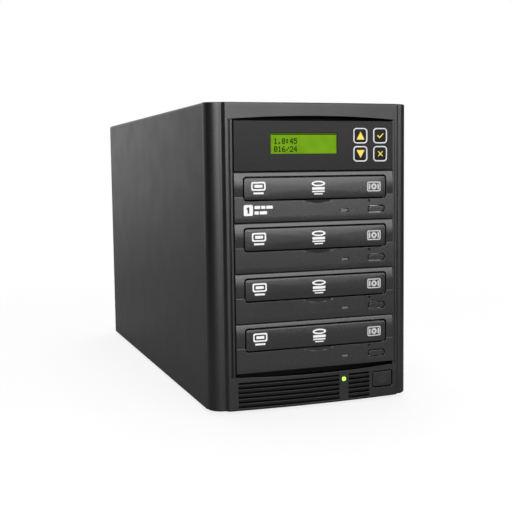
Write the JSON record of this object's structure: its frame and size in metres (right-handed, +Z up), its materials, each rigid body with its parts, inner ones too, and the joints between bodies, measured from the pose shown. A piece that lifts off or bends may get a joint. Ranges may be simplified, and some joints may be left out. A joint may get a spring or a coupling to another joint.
{
  "type": "disc duplicator tower",
  "caption": "Free-standing disc duplicator: steel tower with a moulded front bezel, control panel with display and keys, stacked optical drives with sliding trays.",
  "frame": {"origin": "middle of the bounding box at floor level, under the feet", "axes": "+Z up, the front with the drives faces -Y, +X to the right of someone facing the front"},
  "size_m": [0.189, 0.4524, 0.2672],
  "materials": {
    "bezel_plastic": "fine-grained black moulded plastic",
    "case_paint": "textured black powder paint on sheet steel",
    "black_steel": "black painted sheet steel",
    "plated_steel": "zinc plated sheet steel",
    "supply_steel": "zinc plated sheet steel",
    "screw_steel": "nickel plated steel",
    "guard_wire": "bright plated wire",
    "panel_plastic": "smooth dark grey plastic",
    "faceplate_plastic": "satin dark grey plastic",
    "door_plastic": "satin black plastic",
    "button_plastic": "satin dark grey plastic",
    "key_plastic": "black keys with yellow symbols",
    "tray_plastic": "black moulded plastic",
    "inner_plastic": "black moulded plastic",
    "fan_plastic": "black moulded plastic",
    "display_green": "backlit yellow-green display behind a clear pane",
    "power_light_lens": "lit yellow-green lens",
    "drive_light_lens": "pale grey lens",
    "circuit_board": "green solder mask",
    "foot_rubber": "black rubber"
  },
  "bodies": {
    "root": {"front_bezel": "bezel_plastic", "power_light": "power_light_lens", "power_switch": "inner_plastic", "wrap_cover": "case_paint", "chassis_frame": "black_steel", "bay_cage_left": "plated_steel", "bay_cage_right": "plated_steel", "foot_front_left": "foot_rubber", "foot_front_right": "foot_rubber", "foot_rear_left": "foot_rubber", "foot_rear_right": "foot_rubber", "rear_panel": "black_steel", "cover_screw_left": "screw_steel", "cover_screw_right": "screw_steel", "panel_fascia": "panel_plastic", "display_module": "circuit_board", "display_window": "display_green", "controller_tray": "plated_steel", "controller_board": "circuit_board", "case_fan_frame": "fan_plastic", "case_fan_guard": "guard_wire", "power_supply_case": "supply_steel", "mains_inlet": "inner_plastic", "drive_1_shell": "plated_steel", "drive_1_faceplate": "faceplate_plastic", "drive_1_light": "drive_light_lens", "drive_2_shell": "plated_steel", "drive_2_faceplate": "faceplate_plastic", "drive_2_light": "drive_light_lens", "drive_3_shell": "plated_steel", "drive_3_faceplate": "faceplate_plastic", "drive_3_light": "drive_light_lens", "drive_4_shell": "plated_steel", "drive_4_faceplate": "faceplate_plastic", "drive_4_light": "drive_light_lens"},
    "drive_1_tray": {"drive_1_tray": "tray_plastic", "drive_1_door": "door_plastic"},
    "drive_1_eject_button": {"drive_1_eject_button": "button_plastic"},
    "drive_1_spindle": {"drive_1_spindle": "inner_plastic"},
    "drive_2_tray": {"drive_2_tray": "tray_plastic", "drive_2_door": "door_plastic"},
    "drive_2_eject_button": {"drive_2_eject_button": "button_plastic"},
    "drive_2_spindle": {"drive_2_spindle": "inner_plastic"},
    "drive_3_tray": {"drive_3_tray": "tray_plastic", "drive_3_door": "door_plastic"},
    "drive_3_eject_button": {"drive_3_eject_button": "button_plastic"},
    "drive_3_spindle": {"drive_3_spindle": "inner_plastic"},
    "drive_4_tray": {"drive_4_tray": "tray_plastic", "drive_4_door": "door_plastic"},
    "drive_4_eject_button": {"drive_4_eject_button": "button_plastic"},
    "drive_4_spindle": {"drive_4_spindle": "inner_plastic"},
    "key_up": {"key_up": "key_plastic"},
    "key_down": {"key_down": "key_plastic"},
    "key_ok": {"key_ok": "key_plastic"},
    "key_cancel": {"key_cancel": "key_plastic"},
    "power_button": {"power_button": "bezel_plastic"},
    "mains_switch": {"mains_switch": "inner_plastic"},
    "case_fan_rotor": {"case_fan_rotor": "fan_plastic"},
    "power_supply_fan": {"power_supply_fan": "fan_plastic"}
  },
  "joints": [
    {"name": "drive_1_tray_slide", "type": "slide", "parent": "root", "child": "drive_1_tray", "axis": [0, -1, 0], "range_m": [0, 0.132]},
    {"name": "drive_2_tray_slide", "type": "slide", "parent": "root", "child": "drive_2_tray", "axis": [0, -1, 0], "range_m": [0, 0.132]},
    {"name": "drive_3_tray_slide", "type": "slide", "parent": "root", "child": "drive_3_tray", "axis": [0, -1, 0], "range_m": [0, 0.132]},
    {"name": "drive_4_tray_slide", "type": "slide", "parent": "root", "child": "drive_4_tray", "axis": [0, -1, 0], "range_m": [0, 0.132]},
    {"name": "drive_1_eject_press", "type": "slide", "parent": "root", "child": "drive_1_eject_button", "axis": [0, 1, 0], "range_m": [0, 0.0006], "stiffness_N_per_m": 600, "springref_m": -0.0008},
    {"name": "drive_2_eject_press", "type": "slide", "parent": "root", "child": "drive_2_eject_button", "axis": [0, 1, 0], "range_m": [0, 0.0006], "stiffness_N_per_m": 600, "springref_m": -0.0008},
    {"name": "drive_3_eject_press", "type": "slide", "parent": "root", "child": "drive_3_eject_button", "axis": [0, 1, 0], "range_m": [0, 0.0006], "stiffness_N_per_m": 600, "springref_m": -0.0008},
    {"name": "drive_4_eject_press", "type": "slide", "parent": "root", "child": "drive_4_eject_button", "axis": [0, 1, 0], "range_m": [0, 0.0006], "stiffness_N_per_m": 600, "springref_m": -0.0008},
    {"name": "key_up_press", "type": "slide", "parent": "root", "child": "key_up", "axis": [0, 1, 0], "range_m": [0, 0.0006], "stiffness_N_per_m": 600, "springref_m": -0.0008},
    {"name": "key_down_press", "type": "slide", "parent": "root", "child": "key_down", "axis": [0, 1, 0], "range_m": [0, 0.0006], "stiffness_N_per_m": 600, "springref_m": -0.0008},
    {"name": "key_ok_press", "type": "slide", "parent": "root", "child": "key_ok", "axis": [0, 1, 0], "range_m": [0, 0.0006], "stiffness_N_per_m": 600, "springref_m": -0.0008},
    {"name": "key_cancel_press", "type": "slide", "parent": "root", "child": "key_cancel", "axis": [0, 1, 0], "range_m": [0, 0.0006], "stiffness_N_per_m": 600, "springref_m": -0.0008},
    {"name": "power_button_press", "type": "slide", "parent": "root", "child": "power_button", "axis": [0, 1, 0], "range_m": [0, 0.002], "stiffness_N_per_m": 500, "springref_m": -0.001},
    {"name": "mains_switch_rock", "type": "hinge", "parent": "root", "child": "mains_switch", "pos_m": [0.048, 0.21525, 0.1917], "axis": [1, 0, 0], "range_deg": [-14, 0]},
    {"name": "case_fan_spin", "type": "hinge", "parent": "root", "child": "case_fan_rotor", "pos_m": [0, 0.21725, 0.1127], "axis": [0, 1, 0], "continuous": true},
    {"name": "power_supply_fan_spin", "type": "hinge", "parent": "root", "child": "power_supply_fan", "pos_m": [-0.032, 0.21725, 0.2107], "axis": [0, 1, 0], "continuous": true},
    {"name": "drive_1_spindle_spin", "type": "hinge", "parent": "root", "child": "drive_1_spindle", "pos_m": [0.0007, -0.1574, 0.1828], "axis": [0, 0, 1], "continuous": true},
    {"name": "drive_2_spindle_spin", "type": "hinge", "parent": "root", "child": "drive_2_spindle", "pos_m": [0.0007, -0.1574, 0.1398], "axis": [0, 0, 1], "continuous": true},
    {"name": "drive_3_spindle_spin", "type": "hinge", "parent": "root", "child": "drive_3_spindle", "pos_m": [0.0007, -0.1574, 0.0968], "axis": [0, 0, 1], "continuous": true},
    {"name": "drive_4_spindle_spin", "type": "hinge", "parent": "root", "child": "drive_4_spindle", "pos_m": [0.0007, -0.1574, 0.0538], "axis": [0, 0, 1], "continuous": true}
  ]
}
